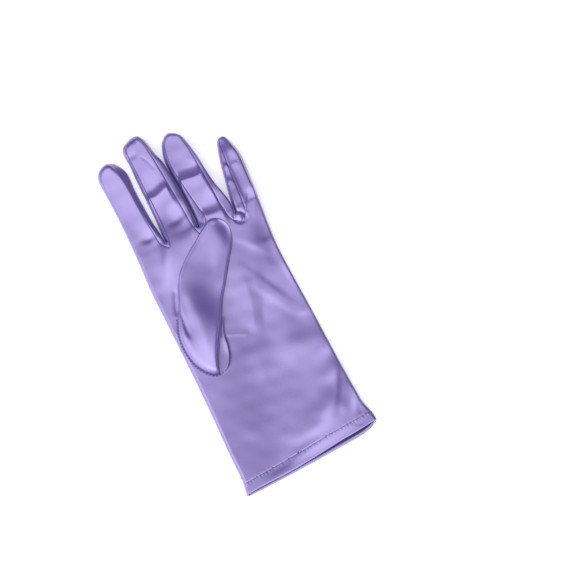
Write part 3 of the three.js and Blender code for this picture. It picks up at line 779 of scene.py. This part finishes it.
def stitch_tree(material):
    """Stitches along a path: a short thread at every pitch, turned across or along it."""
    tree = bpy.data.node_groups.new("stitches", "GeometryNodeTree")
    sockets = {}
    tree.interface.new_socket("Geometry", in_out="INPUT", socket_type="NodeSocketGeometry")
    for name, value in (("Pitch", 0.002), ("Length", 0.0014), ("Thickness", 0.00012), ("Turn", 0.0)):
        socket = tree.interface.new_socket(name, in_out="INPUT", socket_type="NodeSocketFloat")
        socket.default_value = value
        sockets[name] = socket.identifier
    tree.interface.new_socket("Geometry", in_out="OUTPUT", socket_type="NodeSocketGeometry")
    given = tree.nodes.new("NodeGroupInput")
    made = tree.nodes.new("NodeGroupOutput")
    path = tree.nodes.new("GeometryNodeMeshToCurve")
    link(tree, given, "Geometry", path, "Mesh")
    even = tree.nodes.new("GeometryNodeResampleCurve")
    even.mode = "LENGTH"
    link(tree, path, "Curve", even, "Curve")
    link(tree, given, "Pitch", even, "Length")
    bead = tree.nodes.new("GeometryNodeMeshUVSphere")
    set_input(bead, "Segments", 6)
    set_input(bead, "Rings", 5)
    set_input(bead, "Radius", 1.0)
    size = tree.nodes.new("ShaderNodeCombineXYZ")
    link(tree, given, "Thickness", size, "X")
    link(tree, given, "Thickness", size, "Y")
    half = tree.nodes.new("ShaderNodeMath")
    half.operation = "MULTIPLY"
    link(tree, given, "Length", half, 0)
    half.inputs[1].default_value = 0.5
    link(tree, half, "Value", size, "Z")
    thread = tree.nodes.new("GeometryNodeTransform")
    link(tree, bead, "Mesh", thread, "Geometry")
    link(tree, size, "Vector", thread, "Scale")
    tangent = tree.nodes.new("GeometryNodeInputTangent")
    along = tree.nodes.new("FunctionNodeAlignRotationToVector")
    along.axis = "Z"
    link(tree, tangent, "Tangent", along, "Vector")
    turn = tree.nodes.new("FunctionNodeRotateRotation")
    turn.rotation_space = "GLOBAL"
    link(tree, along, "Rotation", turn, "Rotation")
    about = tree.nodes.new("FunctionNodeAxisAngleToRotation")
    set_input(about, "Axis", (0, 0, 1))
    link(tree, given, "Turn", about, "Angle")
    link(tree, about, "Rotation", turn, "Rotate By")
    place = tree.nodes.new("GeometryNodeInstanceOnPoints")
    link(tree, even, "Curve", place, "Points")
    link(tree, thread, "Geometry", place, "Instance")
    link(tree, turn, "Rotation", place, "Rotation")
    real = tree.nodes.new("GeometryNodeRealizeInstances")
    link(tree, place, "Instances", real, "Geometry")
    finish = tree.nodes.new("GeometryNodeSetMaterial")
    set_input(finish, "Material", material)
    link(tree, real, "Geometry", finish, "Geometry")
    link(tree, finish, "Geometry", made, "Geometry")
    return tree, sockets


def sew(name, path, stitches, pitch, length, thickness, turn=0.0):
    """Stitches along a path of glove millimetres, as a plain mesh."""
    tree, sockets = stitches
    mesh = bpy.data.meshes.new(name + "_path")
    mesh.from_pydata(to_frame(path).tolist(), [(i, i + 1) for i in range(len(path) - 1)], [])
    guide = bpy.data.objects.new(name + "_path", mesh)
    bpy.context.scene.collection.objects.link(guide)
    nodes = guide.modifiers.new("stitches", "NODES")
    nodes.node_group = tree
    for key, value in (("Pitch", pitch), ("Length", length), ("Thickness", thickness)):
        nodes[sockets[key]] = value * MM
    nodes[sockets["Turn"]] = turn
    depsgraph = bpy.context.evaluated_depsgraph_get()
    made = bpy.data.meshes.new_from_object(guide.evaluated_get(depsgraph))
    made.name = name
    for polygon in made.polygons:
        polygon.use_smooth = True
    piece = bpy.data.objects.new(name, made)
    bpy.context.scene.collection.objects.link(piece)
    bpy.data.objects.remove(guide)
    return piece


def region_of(points, rows):
    """Whether each point lies between a fourchette's seam lines."""
    left, right = seam_lines(rows)
    return inside(points, np.vstack([left, right[::-1]]))


def make_hand(cloth, gusset):
    """The palm panel, the back panel and the fourchettes, from one flat cut."""
    seams = [line for pair in SEAMS.values() for line in pair]
    feet = [np.vstack([left[:1], right[:1]]) for left, right in SEAMS.values()]
    outline = hand_outline()
    points, faces = cut_cloth(outline, [*seams, *feet, *CREASES])
    centre = points[faces].mean(1)
    region = np.zeros(len(faces), int)
    for k, rows in enumerate(FOURCHETTES.values(), 1):
        region[region_of(centre, rows)] = k
    upper = np.column_stack([points, palm_height(points)])
    lower = np.column_stack([points, back_height(points)])
    palm = give_thickness(make_piece("palm_cloth", upper, faces[region == 0], cloth))
    back = give_thickness(make_piece("back_cloth", lower, faces[region == 0][:, ::-1], cloth))
    made = {"palm_panel": palm, "back_panel": back}
    rim = nearest(points, EDGE)[0] < 1e-3
    twin = np.where(rim, np.arange(len(points)), np.arange(len(points)) + len(points))
    both = np.vstack([upper, lower])
    for k, name in enumerate(FOURCHETTES, 1):
        part = faces[region == k]
        strip = np.vstack([part, twin[part][:, ::-1]])
        piece = make_piece(name.replace("fourchette", "gusset"), both, strip, gusset)
        made[name] = give_thickness(piece)
    return made


def hem_loop(count=220):
    """Positions round the wrist: each one's share of the width, and whether it is on the upper cloth."""
    t = (np.arange(count) + 0.5) / count
    across = (1 - np.cos(math.pi * t)) / 2
    share = 0.35 * t + 0.65 * across
    return np.concatenate([share, share[::-1]]), np.repeat([True, False], count)


def edge_x(up, side):
    """The x of the glove's left or right edge near the cuff."""
    run = np.array(INDEX_SIDE[:5] if side < 0 else LITTLE_SIDE[-6:][::-1], float)
    return np.interp(up, run[:, 1], run[:, 0])


def hem_points(share, upper, v):
    """Points of the hem's outer face: v is 0 at the stitching and 1 at the cuff's edge."""
    x = edge_x(4, -1) + (edge_x(4, 1) - edge_x(4, -1)) * share
    for _ in range(3):
        last = np.where(upper, table_line(CUFF_TOP, x), table_line(CUFF_BACK, x))
        up = hem_up(x) + (last - hem_up(x)) * v
        x = edge_x(up, -1) + (edge_x(up, 1) - edge_x(up, -1)) * share
    return np.column_stack([x, up])


def make_hem(material, inside_painted_shade):
    """The turned hem: a doubled band round the wrist, rolled at its edge, with painted shade on its inner
    face.
    """
    shares, upper = hem_loop()
    rings = []

    def ring(v, lift):
        """One loop of the band, lifted off the glove's own surface."""
        xy = hem_points(shares, upper, v)
        z = np.where(upper, palm_height(xy), back_height(xy))
        flat = np.column_stack([xy[:, 0], z])
        run = np.roll(flat, -1, axis=0) - np.roll(flat, 1, axis=0)
        run /= np.linalg.norm(run, axis=1)[:, None]
        out = np.column_stack([-run[:, 1], run[:, 0]])
        moved = flat + out * lift
        moved[:, 1] = np.maximum(moved[:, 1], 0.03)
        return np.column_stack([moved[:, 0], xy[:, 1], moved[:, 1]])

    for v in HEM_RINGS:
        rings.append(ring(v, 0.0))
    roll = HEM_DOUBLE / 2
    for angle in np.radians(ROLL_ANGLES):
        made = ring(1.0, -roll * (1 - math.cos(angle)))
        made[:, 1] -= roll * math.sin(angle) * 0.8
        rings.append(made)
    for v in HEM_INNER_RINGS:
        rings.append(ring(v, -HEM_DOUBLE))
    grid = np.array(rings)
    count, around = grid.shape[:2]
    index = np.arange(count * around).reshape(count, around)
    faces = []
    for i in range(count):
        for j in range(around):
            a, b = index[i, j], index[i, (j + 1) % around]
            c, d = index[(i + 1) % count, (j + 1) % around], index[(i + 1) % count, j]
            faces += [(a, c, b), (a, d, c)]
    piece = make_piece("hem_band", grid.reshape(-1, 3), np.array(faces), material)
    piece.data.materials.append(inside_painted_shade)
    # Faces from here on, the band's inner face, take the near-black satin: painted shade in the cuff's
    # mouth.
    painted_shade_from = 2 * around * (len(HEM_RINGS) + len(ROLL_ANGLES) + 1)
    for polygon in piece.data.polygons[painted_shade_from:]:
        polygon.material_index = 1
    return piece


def thumb_edge():
    """The thumb's whole edge, as a closed run of points."""
    runs = (THUMB_RIGHT, THUMB_SEWN, THUMB_LEFT, THUMB_TOP)
    return join_lines(*[smooth_line(run) for run in runs])[:-1]


def thumb_rim(points):
    """The height of the thumb's edge over the palm: none where it is sewn down."""
    sewn, _, _ = nearest(points, smooth_line(THUMB_SEWN))
    return THUMB_FREE_EDGE * smoothstep(0, 9, sewn)


def thumb_rise(points, edge):
    """The thumb's upper cloth over the palm."""
    closed = np.vstack([edge, edge[:1]])
    distance, _, share = nearest(points, closed)
    rim = thumb_rim(points)
    places = np.array([row["at"] for row in THUMB_ROUNDING], float)
    reach = np.interp(share, nearest(places, closed)[2], [row["reach"] for row in THUMB_ROUNDING])
    level = table_line(THUMB_LEVELS, points[:, 1])
    on_palm = np.zeros(len(points), int)
    shape = fold_height(points, THUMB_FOLDS, on_palm) + lean_height(points, THUMB_LEANS, on_palm)
    shape += 0.08 * ripple(points, 17, 5)
    return rim + (level + shape - rim) * rounded(distance, reach)


def make_thumb(material):
    """The thumb, puffed over the palm and sewn along its foot."""
    edge = thumb_edge()
    points, faces = cut_cloth(edge, grain=THUMB_GRAIN)
    closed = np.vstack([edge, edge[:1]])
    distance, _, _ = nearest(points, closed)
    base = palm_level(*points.T) + palm_shape(points) * (1 - rounded(distance, 4)) + THUMB_GAP
    top = np.column_stack([points, base + thumb_rise(points, edge)])
    rim = thumb_rim(points)
    under = np.column_stack([points, base + rim * (1 - rounded(distance, 2.2))])
    on_rim = distance < 1e-3
    twin = np.where(on_rim, np.arange(len(points)), np.arange(len(points)) + len(points))
    shell = np.vstack([faces, twin[faces][:, ::-1]])
    return make_piece("thumb_cloth", np.vstack([top, under]), shell, material)


def hem_path():
    """The line of the hem's stitches across the palm side."""
    xy = hem_points(np.linspace(0.01, 0.99, 200), True, 0.02)
    return np.column_stack([xy, palm_height(xy) + 0.1])


def thumb_path():
    """The line of the dark stitches round the pocket and the thumb's foot, just outside the thumb; their
    near-black thread is painted shade along these edges.
    """
    line = join_lines(smooth_line(THUMB_POCKET), smooth_line(THUMB_SEWN))
    run = np.gradient(line, axis=0)
    run /= np.linalg.norm(run, axis=1)[:, None]
    line = line + 0.5 * np.column_stack([-run[:, 1], run[:, 0]])
    return np.column_stack([line, palm_height(line) + 0.25])


def make_floor(material):
    """The surface that the glove lies on."""
    mesh = bpy.data.meshes.new("table_top")
    size = 6.0
    corners = [(-size, -size, 0), (size, -size, 0), (size, size, 0), (-size, size, 0)]
    mesh.from_pydata(corners, [], [(0, 1, 2, 3)])
    mesh.materials.append(material)
    floor = bpy.data.objects.new("table_top", mesh)
    bpy.context.scene.collection.objects.link(floor)
    return floor


# The photograph's view: from 72 degrees above the cuff side, turned to the glove's left.
VIEW_AZIMUTH = math.radians(-27.8)
VIEW_ELEVATION = math.radians(72)
VIEW_DISTANCE = 0.8176
VIEW_TARGET = (32.96, 98.29, 0.0)  # glove millimetres


def make_camera():
    """The camera, at the photograph's angle."""
    back = Vector((
        math.sin(VIEW_AZIMUTH) * math.cos(VIEW_ELEVATION),
        -math.cos(VIEW_AZIMUTH) * math.cos(VIEW_ELEVATION),
        math.sin(VIEW_ELEVATION),
    ))
    lens = bpy.data.cameras.new("camera")
    lens.lens = 85
    lens.sensor_width = 36
    camera = bpy.data.objects.new("camera", lens)
    target = Vector(to_frame(np.array([VIEW_TARGET]))[0])
    camera.location = target + back * VIEW_DISTANCE
    camera.rotation_euler = back.to_track_quat("Z", "Y").to_euler()
    bpy.context.scene.collection.objects.link(camera)
    bpy.context.scene.camera = camera


def make_light():
    """Soft light all round, bright from the near left and above, dim from the far right."""
    world = bpy.data.worlds.new("studio")
    bpy.context.scene.world = world
    world.use_nodes = True
    tree = world.node_tree
    background = tree.nodes["Background"]
    where = tree.nodes.new("ShaderNodeTexCoord")
    facing = tree.nodes.new("ShaderNodeVectorMath")
    facing.operation = "DOT_PRODUCT"
    facing.inputs[1].default_value = Vector((-0.55, -0.50, 0.67)).normalized()
    link(tree, where, "Generated", facing, 0)
    ramp = tree.nodes.new("ShaderNodeValToRGB")
    link(tree, facing, "Value", ramp, "Fac")
    elements = ramp.color_ramp.elements
    elements[0].position = 0.16
    elements[0].color = (0.03, 0.03, 0.03, 1)
    elements[1].position = 0.66
    elements[1].color = (1.0, 1.0, 1.0, 1)
    middle = elements.new(0.42)
    middle.color = (0.36, 0.36, 0.36, 1)
    height = tree.nodes.new("ShaderNodeSeparateXYZ")
    link(tree, where, "Generated", height, "Vector")
    low = tree.nodes.new("ShaderNodeMapRange")
    link(tree, height, "Z", low, "Value")
    set_input(low, "From Min", 0.05)
    set_input(low, "From Max", 0.55)
    set_input(low, "To Min", 1.5)
    set_input(low, "To Max", 2.1)
    link(tree, ramp, "Color", background, "Color")
    link(tree, low, "Result", background, "Strength")
    lamp = bpy.data.lights.new("softbox", "AREA")
    lamp.energy = 2.5
    lamp.size = 0.9
    softbox = bpy.data.objects.new("softbox", lamp)
    softbox.location = (-0.75, -0.7, 1.1)
    softbox.rotation_euler = Vector(softbox.location).to_track_quat("Z", "Y").to_euler()
    bpy.context.scene.collection.objects.link(softbox)


bpy.context.scene.view_settings.view_transform = "Standard"
make_camera()
make_light()
floor = make_floor(floor_material())

weave = weave_group()
panel_satin = satin("lilac_satin", (0.19, 0.135, 0.46), weave)
gusset_satin = satin("gusset_satin", (0.18, 0.128, 0.445), weave)
hem_satin = satin("hem_satin", (0.185, 0.132, 0.45), weave)
# The hem band's inner face, seen in the cuff's mouth, gets a near-black copy of the satin: painted shade
# where the upper cloth's edge shades the lower layer.
hem_painted_shade = satin("hem_painted_shade", (0.045, 0.028, 0.17), weave, metallic=0.85, roughness=0.5)
stitches = stitch_tree(thread_material("thread", (0.2, 0.15, 0.44), (0.4, 0.33, 0.7)))
# Near-black thread for the stitches round the pocket and the thumb's foot: painted shade, the dark line of
# shadow along the thumb's sewn edge and the pocket's loop.
painted_shade_stitches = stitch_tree(thread_material("thread_painted_shade", (0.03, 0.02, 0.09), (0.07, 0.05, 0.16)))

pieces = make_hand(panel_satin, gusset_satin)
pieces["cuff_hem"] = make_hem(hem_satin, hem_painted_shade)
pieces["thumb"] = make_thumb(panel_satin)

for node, piece in pieces.items():
    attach(piece, "root")
    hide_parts(node)
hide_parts("index_front", "middle_front", "ring_front", "little_front")

sewn = [
    sew("hem_stitches_palm", hem_path(), stitches, 1.2, 0.9, 0.08, math.radians(70)),
    # The thumb's stitches in the near-black thread: painted shade along the thumb's foot and the pocket's
    # loop.
    sew("thumb_stitches_painted_shade", thumb_path(), painted_shade_stitches, 2.0, 1.6, 0.36, math.radians(12)),
]
for piece in sewn:
    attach(piece, "root")
